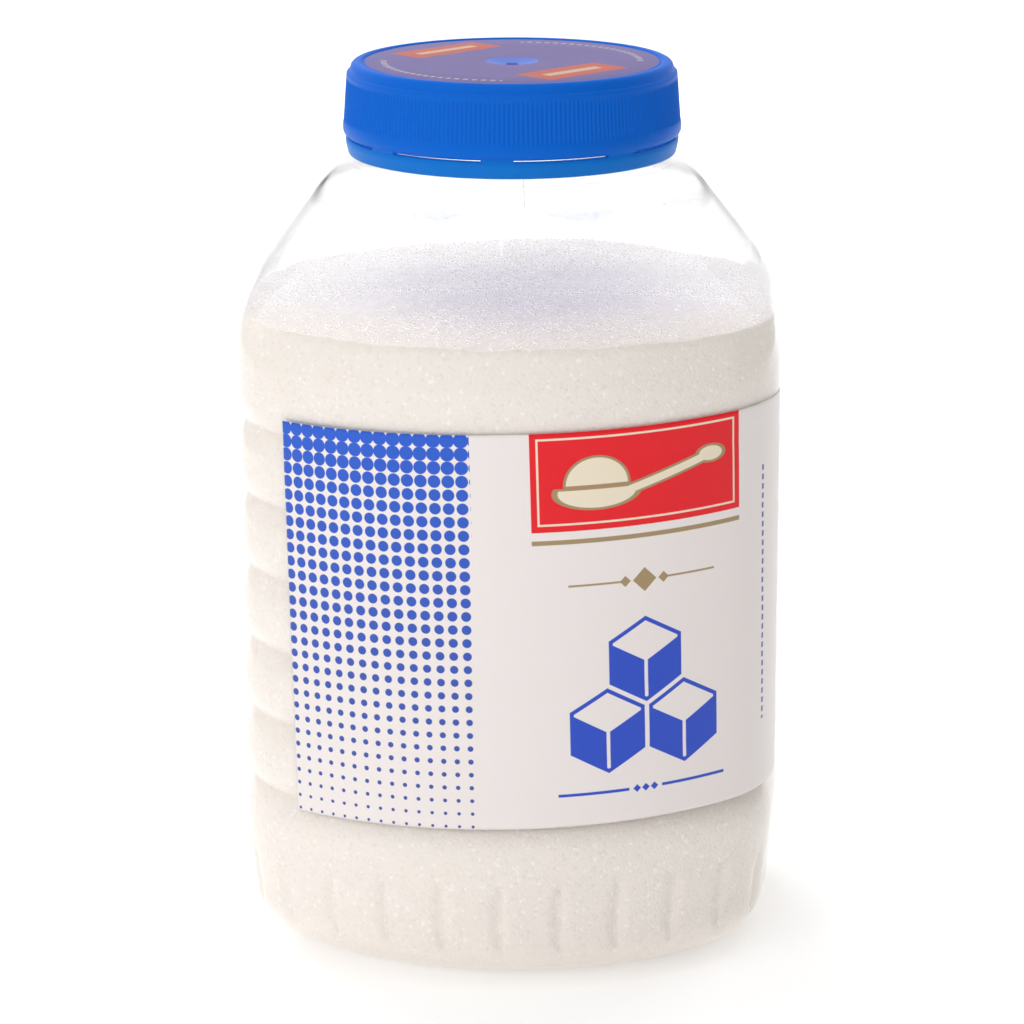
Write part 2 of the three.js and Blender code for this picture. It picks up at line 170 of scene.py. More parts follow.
# %% Profile of the body
FLOOR_HALF = 34.5 * MM
PUSH_UP = 4.2 * MM
PUSH_UP_FORM = ((0.3, 0.94), (0.6, 0.72), (0.85, 0.34))
HEEL_HALF = 32.4 * MM
HEEL_REACH = 20.45 * MM
HEEL_RISE = 13.15 * MM
HEEL_POWER = 2.28
HEEL_DROP = 0.3125 * MM
HEEL_PROBE = 0.1 * MM
HEEL_ZS = [z * MM for z in (0.0, 0.2, 0.5, 1.0, 1.6, 2.4, 3.4, 4.6, 5.9, 7.2)]
BODY_LOW_Z = 8.4 * MM
FLARE = [(13.15, 52.85), (21.0, 53.9), (26.9, 54.4)]
FLARE_Z = [z * MM for z, _ in FLARE]
FLARE_HALF = [half * MM for _, half in FLARE]
GROOVES = 6
GROOVE_TOP_Z = 108.6 * MM
GROOVE_PITCH = 14.65 * MM
GROOVE_DEPTH = 2.1 * MM
RIB_ROUND = 2.4
BULGE_HALF = 54.6 * MM
BULGE_LOW_Z = 113.6 * MM
BULGE_HIGH_Z = 119.45 * MM
SHOULDER_R = 29.0 * MM
CONE_LEAN = math.radians(37.3)
CONE_LOW_Z = BULGE_HIGH_Z + SHOULDER_R * math.sin(CONE_LEAN)
CONE_LOW_HALF = BULGE_HALF - SHOULDER_R * (1 - math.cos(CONE_LEAN))
CONE_TOP_Z = 154.2 * MM
NECK_R = 32.8 * MM
BASE_WALL = 1.5 * MM
WALL = 0.7 * MM
GROOVE_ZS = [GROOVE_TOP_Z - k * GROOVE_PITCH for k in range(GROOVES)]


def heel_half(z):
    """Half width of the heel, a quarter of a rounded square that stands on the flat ring."""
    left = 1 - (z + HEEL_DROP) / (HEEL_RISE + HEEL_DROP)
    return HEEL_HALF + HEEL_REACH * (1 - left**HEEL_POWER) ** (1 / HEEL_POWER)


def body_half(z):
    """Half width of the outside at a height, from the heel to the cone."""
    if z < HEEL_RISE:
        return heel_half(z)
    if z < FLARE_Z[-1]:
        return float(np.interp(z, FLARE_Z, FLARE_HALF))
    if z <= BULGE_HIGH_Z:
        half = HALF if z < BULGE_LOW_Z else BULGE_HALF
        nearest = min(abs(z - groove) for groove in GROOVE_ZS)
        share = max(0.0, 1 - nearest / (GROOVE_PITCH / 2))
        return half - GROOVE_DEPTH * share**RIB_ROUND
    if z <= CONE_LOW_Z:
        lean = math.asin((z - BULGE_HIGH_Z) / SHOULDER_R)
        return BULGE_HALF - SHOULDER_R * (1 - math.cos(lean))
    return CONE_LOW_HALF - (z - CONE_LOW_Z) * math.tan(CONE_LEAN)


FLUTE_LOW_Z = 9.2 * MM
FLUTE_HIGH_Z = 21.4 * MM
FLUTE_ENDS = (0.1 * MM, 0.5 * MM, 1.2 * MM, 2.2 * MM, 3.6 * MM)
FLUTE_ZS = [FLUTE_LOW_Z + end for end in FLUTE_ENDS] + [FLUTE_HIGH_Z - end for end in FLUTE_ENDS]
FINE = (0.0, 0.3, 0.8, 1.6, 2.6, 3.8, 5.4, 7.3)
COARSE = (0.0, 0.8, 2.4, 4.6, 7.3)


def wall_heights(low, high, step, near=FINE):
    """Heights for the body's rings, closer together at the bottoms of the grooves."""
    heights = {low, high}
    for groove in GROOVE_ZS:
        for away in near:
            heights.update({groove - away * MM, groove + away * MM})
    z = low
    while z < high:
        if min(abs(z - groove) for groove in GROOVE_ZS) > near[-1] * MM + step / 2:
            heights.add(z)
        z += step
    heights.update(FLUTE_ZS)
    ordered = sorted(z for z in heights if low <= z <= high)
    return [z for z, after in zip(ordered, ordered[1:] + [high + 1]) if after - z > 0.05 * MM]


print("grooves at", [round(z / MM, 1) for z in GROOVE_ZS], "mm")

# %% [markdown]
# ## Turning a profile into the body
# A lathe gives a round jar, and ours is a rounded square. So we spin the profile as a lathe
# would, and then move each ring of points from its circle onto the plan. Below the shoulder
# a ring is the plan moved in or out along its normals; over it, the ring eases from the plan
# to the neck's circle; under the foot it is a smaller copy of the foot. A spin of hundreds
# of steps is slow, so one twelfth is spun and copied round.

# %% Spin, then square
SECTORS = 12
MERGE_WITHIN = 0.002 * MM
MILLILITRES = 1e6


def spin_profile(points, steps):
    """A closed shell from a profile of (radius, height) that starts and ends on the axis."""
    bm = bmesh.new()
    verts = [bm.verts.new((0, -radius, z)) for radius, z in points]
    edges = [bm.edges.new(pair) for pair in zip(verts, verts[1:])]
    sector = TURN / SECTORS
    bmesh.ops.spin(
        bm,
        geom=verts + edges,
        cent=(0, 0, 0),
        axis=(0, 0, 1),
        dvec=(0, 0, 0),
        angle=sector,
        steps=steps // SECTORS,
        use_merge=False,
    )
    first = bm.verts[:] + bm.edges[:] + bm.faces[:]
    for i in range(1, SECTORS):
        copy = bmesh.ops.duplicate(bm, geom=first)["geom"]
        moved = [item for item in copy if isinstance(item, bmesh.types.BMVert)]
        turned = Matrix.Rotation(i * sector, 3, "Z")
        bmesh.ops.rotate(bm, cent=(0, 0, 0), matrix=turned, verts=moved)
    bmesh.ops.remove_doubles(bm, verts=bm.verts, dist=MERGE_WITHIN)
    bmesh.ops.recalc_face_normals(bm, faces=bm.faces)
    return bm


def squared(radius, arc, z):
    """Where a point of the lathed jar goes on the real jar."""
    angle = plan_angle(arc)
    point, normal = plan_point(angle)
    if z > BULGE_HIGH_Z:
        share = max(0.0, (radius - NECK_R) / (HALF - NECK_R))
        circle = NECK_R if share > 0 else radius
        place = normal * circle * (1 - share) + point * share
    elif radius >= FLOOR_HALF:
        place = point + normal * (radius - HALF)
    else:
        place = (point + normal * (FLOOR_HALF - HALF)) * (radius / FLOOR_HALF)
    return Vector((place.x, place.y, z))


def square_off(bm, reshape=None):
    """Moves every point of a lathed shell onto the plan. reshape may carve it further."""
    for vert in bm.verts:
        radius = math.hypot(vert.co.x, vert.co.y)
        turn = math.atan2(vert.co.x, -vert.co.y) % TURN
        arc = turn / TURN * ROUND
        place = squared(radius, arc, vert.co.z)
        vert.co = reshape(place, arc) if reshape else place


def finish_piece(bm, name, materials, smooth=True):
    """Turns the bmesh into an object at the origin that rides on the frame."""
    volume = bm.calc_volume(signed=True)
    if volume < 0:
        bmesh.ops.reverse_faces(bm, faces=bm.faces)
    print(name, "volume", round(volume * MILLILITRES, 2), "ml")
    for face in bm.faces:
        face.smooth = smooth
    mesh = bpy.data.meshes.new(name)
    bm.to_mesh(mesh)
    bm.free()
    for material in materials:
        mesh.materials.append(material)
    piece = bpy.data.objects.new(name, mesh)
    scene.collection.objects.link(piece)
    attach(piece, "root")
    mesh.calc_loop_triangles()
    print(name, "has", len(mesh.loop_triangles), "triangles")
    return piece


# %% [markdown]
# ## Shader maths
# Patterns are sums written as plain Python: a small class wraps a socket, and its operators
# add the Math nodes. The same bench makes every other node from its type, its settings and
# what its sockets are given.

# %% Node bench
class Wire:
    """A node's output socket that can be used in sums."""

    def __init__(self, bench, socket):
        self.bench = bench
        self.socket = socket

    def sum(self, operation, *others):
        return self.bench.maths(operation, self, *others)

    def __add__(self, other):
        return self.sum("ADD", other)

    def __radd__(self, other):
        return self.bench.maths("ADD", other, self)

    def __sub__(self, other):
        return self.sum("SUBTRACT", other)

    def __rsub__(self, other):
        return self.bench.maths("SUBTRACT", other, self)

    def __mul__(self, other):
        return self.sum("MULTIPLY", other)

    def __rmul__(self, other):
        return self.bench.maths("MULTIPLY", other, self)

    def __truediv__(self, other):
        return self.sum("DIVIDE", other)

    def __lt__(self, other):
        return self.sum("LESS_THAN", other)

    def __gt__(self, other):
        return self.sum("GREATER_THAN", other)


class Bench:
    """One material's node tree, and the methods that add to it."""

    def __init__(self, name):
        self.material = bpy.data.materials.new(name)
        self.material.use_nodes = True
        self.tree = self.material.node_tree
        self.tree.nodes.clear()
        self.output = self.tree.nodes.new("ShaderNodeOutputMaterial")

    def plug(self, socket, value):
        if isinstance(value, Wire):
            self.tree.links.new(value.socket, socket)
        else:
            socket.default_value = value

    def node(self, kind, settings=None, **sockets):
        """Adds a node. Sockets are named, with _ for a space, or numbered as in_0."""
        made = self.tree.nodes.new(kind)
        for name, value in (settings or {}).items():
            if name == "stops":
                self.set_stops(made.color_ramp, value)
            else:
                setattr(made, name, value)
        for name, value in sockets.items():
            key = int(name[3:]) if name.startswith("in_") else name.replace("_", " ")
            self.plug(made.inputs[key], value)
        return made

    def set_stops(self, ramp, stops):
        while len(ramp.elements) < len(stops):
            ramp.elements.new(1.0)
        for element, (place, colour) in zip(ramp.elements, stops):
            element.position = place
            element.color = colour

    def out(self, made, key=0):
        return Wire(self, made.outputs[key])

    def maths(self, operation, *values):
        named = {f"in_{i}": value for i, value in enumerate(values)}
        return self.out(self.node("ShaderNodeMath", {"operation": operation}, **named))

    def clamp01(self, value):
        return self.maths("MINIMUM", self.maths("MAXIMUM", value, 0.0), 1.0)

    def step(self, value, edge, soft):
        """Rises from 0 to 1 as value passes edge, over the width soft."""
        return self.clamp01((value - edge) / soft + 0.5)

    def mix(self, share, first, second):
        """A colour between two, each a colour or a wire."""
        made = self.node("ShaderNodeMix", {"data_type": "RGBA", "clamp_factor": True})
        colours = [s for s in made.inputs if s.type == "RGBA"]
        self.plug(made.inputs[0], share)
        self.plug(colours[0], first)
        self.plug(colours[1], second)
        outs = [s for s in made.outputs if s.type == "RGBA"]
        return Wire(self, outs[0])

    def place(self):
        """The object's own coordinates, as x, y and z wires, and as one vector."""
        where = self.out(self.node("ShaderNodeTexCoord"), "Object")
        split = self.node("ShaderNodeSeparateXYZ", Vector=where)
        return [self.out(split, i) for i in range(3)] + [where]

    def noise(self, where, size, detail=2.0, roughness=0.5):
        """Noise between 0 and 1 whose lumps are about size metres across."""
        return self.out(
            self.node(
                "ShaderNodeTexNoise",
                Vector=where,
                Scale=1.0 / size,
                Detail=detail,
                Roughness=roughness,
            ),
            0,
        )

    def bump(self, height, depth, strength=1.0):
        """A Bump node whose height of 1 stands depth metres proud."""
        return self.out(
            self.node("ShaderNodeBump", Height=height, Distance=depth, Strength=strength)
        )

    def principled(self, **sockets):
        return self.out(self.node("ShaderNodeBsdfPrincipled", **sockets))

    def finish(self, shader):
        self.tree.links.new(shader.socket, self.output.inputs["Surface"])
        return self.material


def srgb(red, green, blue):
    """A screen colour, 0 to 255, as the linear colour that Blender mixes."""

    def linear(level):
        share = level / 255
        return share / 12.92 if share <= 0.04045 else ((share + 0.055) / 1.055) ** 2.4

    return (linear(red), linear(green), linear(blue), 1.0)


print("white label colour:", [round(c, 3) for c in srgb(238, 230, 227)])

# %% [markdown]
# ## Shapes for prints
# A print is made of plain shapes with edges as soft as ink on film. Each shape is a formula
# in the print's own millimetres, 1 inside it and 0 outside, so it stays sharp at any size.

# %% Print shapes
SOFT = 0.12


def between(bench, value, low, high):
    """1 where value lies between low and high, with an edge as soft as print."""
    return bench.step(value, low, SOFT) * (1 - bench.step(value, high, SOFT))


def box(bench, u, v, left, low, right, high):
    return between(bench, u, left, right) * between(bench, v, low, high)


def oval_distance(bench, u, v, centre, reach):
    across = (u - centre[0]) / reach[0]
    up = (v - centre[1]) / reach[1]
    away = bench.maths("SQRT", across * across + up * up)
    return (away - 1.0) * min(reach)


def rod_distance(bench, u, v, start, end, half):
    """Distance to a round-ended rod from start to end."""
    run, rise = end[0] - start[0], end[1] - start[1]
    du, dv = u - start[0], v - start[1]
    along = bench.clamp01((du * run + dv * rise) / (run * run + rise * rise))
    off_u, off_v = du - along * run, dv - along * rise
    return bench.maths("SQRT", off_u * off_u + off_v * off_v) - half


def diamond(bench, u, v, centre, reach):
    off_u = bench.maths("ABSOLUTE", u - centre[0])
    off_v = bench.maths("ABSOLUTE", v - centre[1])
    return 1 - bench.step(off_u + off_v, reach, SOFT)


# %% [markdown]
# ## Clear plastic
# The jar is stretch-blown PET: clear as glass, very thin, with a faint moulding line front
# and back. Glass maths alone would shut the light out of the sugar behind it, so rays from
# lamps pass straight through, as they nearly do in a wall this thin. At the neck, where
# many surfaces stand behind each other, most of the light passes without bending too.

# %% Clear PET
NECK_CLEAR_Z = 150.5 * MM
NECK_EASE = 4.0 * MM
NECK_CLEAR = 0.8
SEAM_HALF = 0.12 * MM
SEAM_HEIGHT = 0.06 * MM


def make_pet():
    bench = Bench("clear_pet")
    x, _, z, _ = bench.place()
    seam = 1 - bench.step(bench.maths("ABSOLUTE", x), SEAM_HALF, SEAM_HALF)
    surface = bench.bump(seam, SEAM_HEIGHT)
    plastic = bench.principled(
        Base_Color=(1, 1, 1, 1),
        Roughness=0.02,
        IOR=1.5,
        Transmission_Weight=1.0,
        Normal=surface,
    )
    open_air = bench.out(bench.node("ShaderNodeBsdfTransparent"))
    rays = bench.node("ShaderNodeLightPath")
    shadow, spread = bench.out(rays, "Is Shadow Ray"), bench.out(rays, "Is Diffuse Ray")
    neck = bench.step(z, NECK_CLEAR_Z, NECK_EASE) * NECK_CLEAR
    passing = bench.maths("MAXIMUM", bench.maths("MAXIMUM", shadow, spread), neck)
    mixed = bench.node("ShaderNodeMixShader", in_0=passing, in_1=plastic, in_2=open_air)
    return bench.finish(bench.out(mixed))


pet = make_pet()

# %% [markdown]
# ## The jar
# One closed shell, outside and inside. The profile runs from the middle of the pushed-up
# base, out under the foot, up the wall, over the rim and back down inside. Thirty narrow
# flutes are pressed into the foot, so we carve them as the rings are squared.

# %% Jar shell
JAR_STEPS = 360
FLUTES = 30
FLUTE_PITCH = ROUND / FLUTES
FLUTE_DEPTH = 0.8 * MM
FLUTE_HALF_WIDTH = 2.4 * MM
RING_LOW_Z = 156.0 * MM
RING_HIGH_Z = 157.1 * MM
RING_BEVEL = 0.2 * MM
ROOT_R = 32.2 * MM
TUBE_R = 30.0 * MM
BORE_R = 28.6 * MM
RIM_Z = 172.4 * MM
RIM_ROUND = 0.3 * MM


def outside_profile():
    points = [(0, PUSH_UP)]
    points += [(part * FLOOR_HALF, rise * PUSH_UP) for part, rise in PUSH_UP_FORM]
    points += [(FLOOR_HALF, 0)] + [(heel_half(z), z) for z in HEEL_ZS]
    points += [(body_half(z), z) for z in wall_heights(BODY_LOW_Z, CONE_TOP_Z, 1.8 * MM)]
    points += [(NECK_R, RING_LOW_Z - 0.5 * MM), (ROOT_R, RING_LOW_Z - 0.1 * MM)]
    points += [(NECK_R - RING_BEVEL, RING_LOW_Z), (NECK_R, RING_LOW_Z + RING_BEVEL)]
    points += [(NECK_R, RING_HIGH_Z - RING_BEVEL), (NECK_R - RING_BEVEL, RING_HIGH_Z)]
    points += [(TUBE_R, RING_HIGH_Z + 0.05 * MM), (TUBE_R, RIM_Z - RIM_ROUND)]
    points += [(TUBE_R - RIM_ROUND, RIM_Z)]
    return points


def inside_profile(shrink, heel_extra, top=CONE_TOP_Z, step=3.0 * MM, near=COARSE):
    """The inner face from the cone's top down to the floor, shrink inside the outside."""
    cone_extra = 1 / math.cos(CONE_LEAN)
    points = []
    for z in reversed(wall_heights(FLUTE_LOW_Z, top, step, near)):
        inset = shrink * (cone_extra if z > CONE_LOW_Z else 1)
        thick = heel_extra * max(0.0, 1 - z / FLARE_Z[-1])
        points.append((body_half(z) - inset - thick, z))
    for z in reversed(HEEL_ZS):
        thick = shrink + heel_extra * (1 - z / FLARE_Z[-1])
        lean = math.atan2(heel_half(z + HEEL_PROBE) - heel_half(z), HEEL_PROBE)
        points.append((heel_half(z) - thick * math.cos(lean), z + thick * math.sin(lean)))
    floor_z = shrink + heel_extra
    points.append((FLOOR_HALF, floor_z))
    for part, rise in reversed(PUSH_UP_FORM[1:]):
        points.append((part * FLOOR_HALF, floor_z + rise * PUSH_UP))
    points.append((0, floor_z + PUSH_UP))
    return points


def carve_flutes(place, arc):
    z = place.z
    if not FLUTE_LOW_Z < z < FLUTE_HIGH_Z:
        return place
    off = abs((arc + FLUTE_PITCH / 2) % FLUTE_PITCH - FLUTE_PITCH / 2)
    ends = min(z - FLUTE_LOW_Z, FLUTE_HIGH_Z - z) / FLUTE_HALF_WIDTH
    across = off / (FLUTE_HALF_WIDTH * min(1.0, math.sqrt(ends)))
    if across >= 1:
        return place
    _, normal = plan_point(plan_angle(arc))
    return place - normal * FLUTE_DEPTH * (0.5 + 0.5 * math.cos(math.pi * across))


def make_jar():
    rim = [(BORE_R + RIM_ROUND, RIM_Z), (BORE_R, RIM_Z - RIM_ROUND), (BORE_R, RING_LOW_Z)]
    profile = outside_profile() + rim + inside_profile(WALL, BASE_WALL - WALL)
    bm = spin_profile(profile, JAR_STEPS)
    square_off(bm, carve_flutes)
    piece = finish_piece(bm, "jar_shell", [pet])
    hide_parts("jar")
    return piece


make_jar()

# %% [markdown]
# ## Sugar
# Granulated sugar is a heap of crystals up to half a millimetre across. Making each of them
# would take tens of millions, so the heap is one solid that reaches just into the jar's wall, with
# relief on its top, and a few thousand loose crystals of true size lie on that.

# %% Sugar finish
SUGAR_Z = 129.0 * MM
GRAIN = 0.6 * MM


def make_sugar_finish():
    bench = Bench("sugar_crystals")
    _, _, _, where = bench.place()
    cells = bench.node(
        "ShaderNodeTexVoronoi", {"feature": "F1", "voronoi_dimensions": "3D"},
        Vector=where, Scale=1 / GRAIN, Randomness=1.0,
    )
    grain_tone = bench.out(cells, "Color")
    split = bench.node("ShaderNodeSeparateColor", Color=grain_tone)
    tone = bench.out(split, 0)
    # Painted glints: a few grains are painted near white, and they are also made smoother.
    smooth_glint_grains = bench.step(tone, 0.965, 0.03)
    dull = 1 - bench.step(bench.out(split, 1), 0.1, 0.2)
    patches = bench.noise(where, 9 * MM, 3.0, 0.6)
    warm = bench.mix(patches, srgb(243, 234, 224), srgb(238, 230, 222))
    shaded = bench.mix(dull * 0.25, warm, srgb(214, 202, 190))
    colour = bench.mix(smooth_glint_grains * 0.6, shaded, srgb(255, 252, 248))
    relief = bench.out(cells, "Distance")
    surface = bench.bump(1 - relief, 0.2 * MM, 0.45)
    sugar = bench.principled(
        Base_Color=colour,
        Roughness=0.75 - smooth_glint_grains * 0.5,
        Normal=surface,
    )
    return bench.finish(sugar)


def make_open_sugar():
    """The heap's top, where light wanders among the crystals before it leaves. Its colour holds
    painted light: cooler than the walls' sugar, and warmer towards the front.
    """
    bench = Bench("open_sugar_painted_light")
    _, y, _, where = bench.place()
    grain = bench.noise(where, 0.5 * MM, 2.0, 0.6)
    # Painted light: the open top is painted cooler than the sugar at the walls.
    colour = bench.mix(grain, srgb(233, 227, 226), srgb(249, 245, 243))
    # Painted warm light: the top turns warmer towards the front.
    painted_warm_front = 1 - bench.step(y, -22 * MM, 44 * MM)
    colour = bench.mix(painted_warm_front, colour, srgb(240, 229, 219))
    sugar = bench.principled(
        Base_Color=colour,
        Roughness=0.5,
        IOR=1.54,
        Specular_IOR_Level=0.7,
        Subsurface_Weight=0.7,
        Subsurface_Radius=(1.0, 0.97, 0.97),
        Subsurface_Scale=1.6 * MM,
        Normal=bench.bump(grain, 0.12 * MM, 0.6),
    )
    return bench.finish(sugar)


CRYSTAL_CLEAR = 0.6


def make_crystal_finish():
    bench = Bench("loose_crystal")
    crystal = bench.principled(
        Base_Color=srgb(255, 254, 253), Roughness=0.5, IOR=1.54, Specular_IOR_Level=0.3,
    )
    clear = bench.out(bench.node("ShaderNodeBsdfTransparent"))
    shadow = bench.out(bench.node("ShaderNodeLightPath"), "Is Shadow Ray")
    passing = bench.maths("MAXIMUM", shadow, CRYSTAL_CLEAR)
    mixed = bench.node("ShaderNodeMixShader", in_0=passing, in_1=crystal, in_2=clear)
    return bench.finish(bench.out(mixed))


sugar_finish = make_sugar_finish()
open_sugar_painted_light = make_open_sugar()
crystal_finish = make_crystal_finish()

# %% [markdown]
# ## The heap
# The heap's wall is the jar's inner face, moved a little into the plastic, so that no gap of
# air shows. Its top has a shallow dip and a low rise at the back, and relief in sizes from
# sixteen millimetres down to one. Below that size the loose crystals take over.

# %% Sugar core
SUGAR_INTO_WALL = 0.08 * MM
OPEN_DEPTH = 3.0 * MM
DIP = (Vector((-26 * MM, 40 * MM, 0)), 22 * MM, -0.8 * MM)
HEAP = (Vector((10 * MM, 42 * MM, 0)), 20 * MM, 0.7 * MM)
RELIEF = ((16, 0.5), (5, 0.25), (1.9, 0.14), (1.0, 0.12))
SUGAR_STEPS = 360
TOP_RINGS = 64
FACES_UP = 0.5


def sugar_height(x, y):
    """Height of the sugar's top: the large dip and heap, then ever smaller relief."""
    z = SUGAR_Z
    for centre, reach, height in (DIP, HEAP):
        away = ((x - centre.x) ** 2 + (y - centre.y) ** 2) / reach**2
        z += height * math.exp(-away)
    for size, height in RELIEF:
        z += height * MM * noise.noise(Vector((x, y, size * MM)) / (size * MM))
    return z


def make_sugar():
    shrink = WALL - SUGAR_INTO_WALL
    wall = inside_profile(shrink, BASE_WALL - WALL, top=SUGAR_Z, step=2.4 * MM, near=FINE)
    rim_half = wall[0][0]
    spacing = [(1 - i / TOP_RINGS) for i in range(1, TOP_RINGS)]
    top = [(0, SUGAR_Z)] + [(rim_half * part, SUGAR_Z) for part in reversed(spacing)]
    bm = spin_profile(top + wall, SUGAR_STEPS)

    def uneven(place, arc):
        if place.z > SUGAR_Z - 0.01 * MM:
            place.z = sugar_height(place.x, place.y)
        return carve_flutes(place, arc)

    square_off(bm, uneven)
    bm.normal_update()
    for face in bm.faces:
        high = face.calc_center_median().z > SUGAR_Z - OPEN_DEPTH
        face.material_index = 1 if high and abs(face.normal.z) > FACES_UP else 0
    piece = finish_piece(bm, "sugar_heap", [sugar_finish, open_sugar_painted_light])
    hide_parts("sugar")
    return piece


make_sugar()

# %% [markdown]
# ## Loose crystals
# The crystals on top are plain blocks a quarter to half a millimetre long, each turned at
# random and sunk a little. We could copy objects, but thousands of them are slow, so one
# block's corners are moved as arrays and joined in one mesh. Real crystals are clear, so
# these let most light through.

# %% Loose crystals
LOOSE = 6000
CRYSTAL = 0.5 * MM
CRYSTAL_SINK = 0.05


def random_direction():
    return Vector([random.gauss(0, 1) for _ in range(3)]).normalized()


def one_crystal():
    """A block's corners and faces, as arrays that can be copied."""
    bm = bmesh.new()
    bmesh.ops.create_cube(bm, size=1)
    corners = np.array([vert.co[:] for vert in bm.verts])
    faces = np.array([[vert.index for vert in face.verts] for face in bm.faces])
    bm.free()
    return corners, faces


def join_copies(name, corners, faces, matrices, material):
    """One mesh of many copies of a small shape, each put in its place by a matrix."""
    places = np.array([matrix for matrix in matrices])
    spun = np.einsum("nij,vj->nvi", places[:, :3, :3], corners) + places[:, None, :3, 3]
    count = len(corners)
    shifted = faces[None] + count * np.arange(len(matrices))[:, None, None]
    mesh = bpy.data.meshes.new(name)
    sides = faces.shape[1]
    mesh.vertices.add(count * len(matrices))
    mesh.vertices.foreach_set("co", spun.astype(np.float32).ravel())
    mesh.loops.add(shifted.size)
    mesh.loops.foreach_set("vertex_index", shifted.astype(np.int32).ravel())
    mesh.polygons.add(shifted.size // sides)
    mesh.polygons.foreach_set("loop_start", np.arange(0, shifted.size, sides, dtype=np.int32))
    mesh.update(calc_edges=True)
    mesh.materials.append(material)
    piece = bpy.data.objects.new(name, mesh)
    scene.collection.objects.link(piece)
    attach(piece, "root")
    print(name, "has", len(matrices), "copies of", len(faces), "faces")
    return piece


def make_crystals():
    """Blocks of a crystal's size, turned at random, on the heap's top."""
    corners, faces = one_crystal()
    reach = body_half(SUGAR_Z) - WALL - 0.5 * MM
    matrices = []
    for _ in range(LOOSE):
        arc = random.uniform(0, ROUND)
        part = math.sqrt(random.random())
        place = squared(reach * part, arc, SUGAR_Z)
        size = CRYSTAL * random.uniform(0.5, 0.95)
        spin = Matrix.Rotation(random.uniform(0, TURN), 4, random_direction())
        shape = (size, size * random.uniform(0.75, 1), size * random.uniform(0.6, 0.95), 1)
        lift = sugar_height(place.x, place.y) - CRYSTAL_SINK * size
        move = Matrix.Translation((place.x, place.y, lift))
        matrices.append(move @ spin @ Matrix.Diagonal(shape))
    piece = join_copies("sugar_crystals", corners, faces, matrices, crystal_finish)
    return piece


make_crystals()

# %% [markdown]
# ## Cap
# The cap is moulded in blue polypropylene: a raised rim round a printed disc, a skirt of
# fine upright ribs for the fingers, a bead, and a tamper band that hangs by eight bridges.
# We spin its profile, press the ribs in by moving points, and open the eight slits.

# %% Cap plastic
BAND_TOP_Z = 161.0 * MM
CAP_PASSES = 0.8
CAP_TINT = (0.9, 0.84, 0.98, 1)


def make_cap_plastic():
    bench = Bench("blue_polypropylene")
    _, _, z, _ = bench.place()
    band = 1 - bench.step(z, BAND_TOP_Z, 0.8 * MM)
    colour = bench.mix(band, srgb(8, 100, 206), srgb(14, 114, 204))
    plastic = bench.principled(
        Base_Color=colour, Roughness=0.42, IOR=1.49, Specular_IOR_Level=0.1,
    )
    tinted = bench.out(bench.node("ShaderNodeBsdfTransparent", Color=CAP_TINT))
    rays = bench.node("ShaderNodeLightPath")
    shadow, spread = bench.out(rays, "Is Shadow Ray"), bench.out(rays, "Is Diffuse Ray")
    passing = bench.maths("MAXIMUM", shadow, spread) * CAP_PASSES
    mixed = bench.node("ShaderNodeMixShader", in_0=passing, in_1=plastic, in_2=tinted)
    return bench.finish(bench.out(mixed))


# %% [markdown]
# ## The disc's print
# The disc is printed dark violet over the blue plastic. Two warm panels with a pale bar face
# each other across a round dimple, and a ring of fine dashes runs between them. All of it
# lies slanted to the label, because the cap stops where its thread does.

# %% Disc print
PRINT_TURN = math.radians(47.5)
DIMPLE_R = 5.2
GATE_R = 1.3
DASHES = 14.0


def make_disc_print():
    bench = Bench("printed_disc")
    x, y, _, where = bench.place()
    u, v = x / MM, y / MM
    away = bench.maths("SQRT", u * u + v * v)
    grain = bench.noise(where, 0.4 * MM, 2.0)
    colour = bench.mix(grain, srgb(98, 88, 146), srgb(114, 102, 150))
    along = u * math.cos(PRINT_TURN) + v * math.sin(PRINT_TURN)
    across = v * math.cos(PRINT_TURN) - u * math.sin(PRINT_TURN)
    panels = box(bench, along, across, -10.5, 15.2, 12.0, 23.8)
    panels = panels + box(bench, along, across, -12.0, -22.8, 9.5, -13.0)
    bars = box(bench, along, across, -7.0, 18.4, 8.5, 20.6)
    bars = bars + box(bench, along, across, -8.5, -19.1, 6.0, -16.7)
    colour = bench.mix(bench.clamp01(panels), colour, srgb(182, 92, 78))
    colour = bench.mix(bench.clamp01(bars), colour, srgb(196, 168, 144))
    turn = bench.maths("ARCTAN2", v, u)
    dash = bench.maths("FRACT", turn * DASHES + 50.0)
    fine = between(bench, away, 24.6, 25.8) * (dash > 0.45) * (u * v > 12.0)
    colour = bench.mix(fine * 0.6, colour, srgb(206, 196, 190))
    # Painted light: the dimple is painted a lighter blue than the cap's plastic, where the dish
    # faces up.
    dimple_painted_light = 1 - bench.step(away, DIMPLE_R, 0.3)
    colour = bench.mix(dimple_painted_light, colour, srgb(96, 122, 206))
    gate = 1 - bench.step(away, GATE_R, 0.3)
    colour = bench.mix(gate, colour, srgb(30, 50, 150))
    surface = bench.bump(grain, 0.02 * MM)
    plastic = bench.principled(
        Base_Color=colour, Roughness=0.5, IOR=1.49, Specular_IOR_Level=0.4, Normal=surface,
    )
    return bench.finish(plastic)


cap_plastic = make_cap_plastic()
disc_print = make_disc_print()

# %% [markdown]
# ## The cap's body
# The knurl is a wave of 228 ribs round the skirt. The spin has four steps to a rib, so
# moving the points is enough to press it in. Each slit is cut by taking out the faces of
# both skins and bridging their edges, which keeps the shell closed.

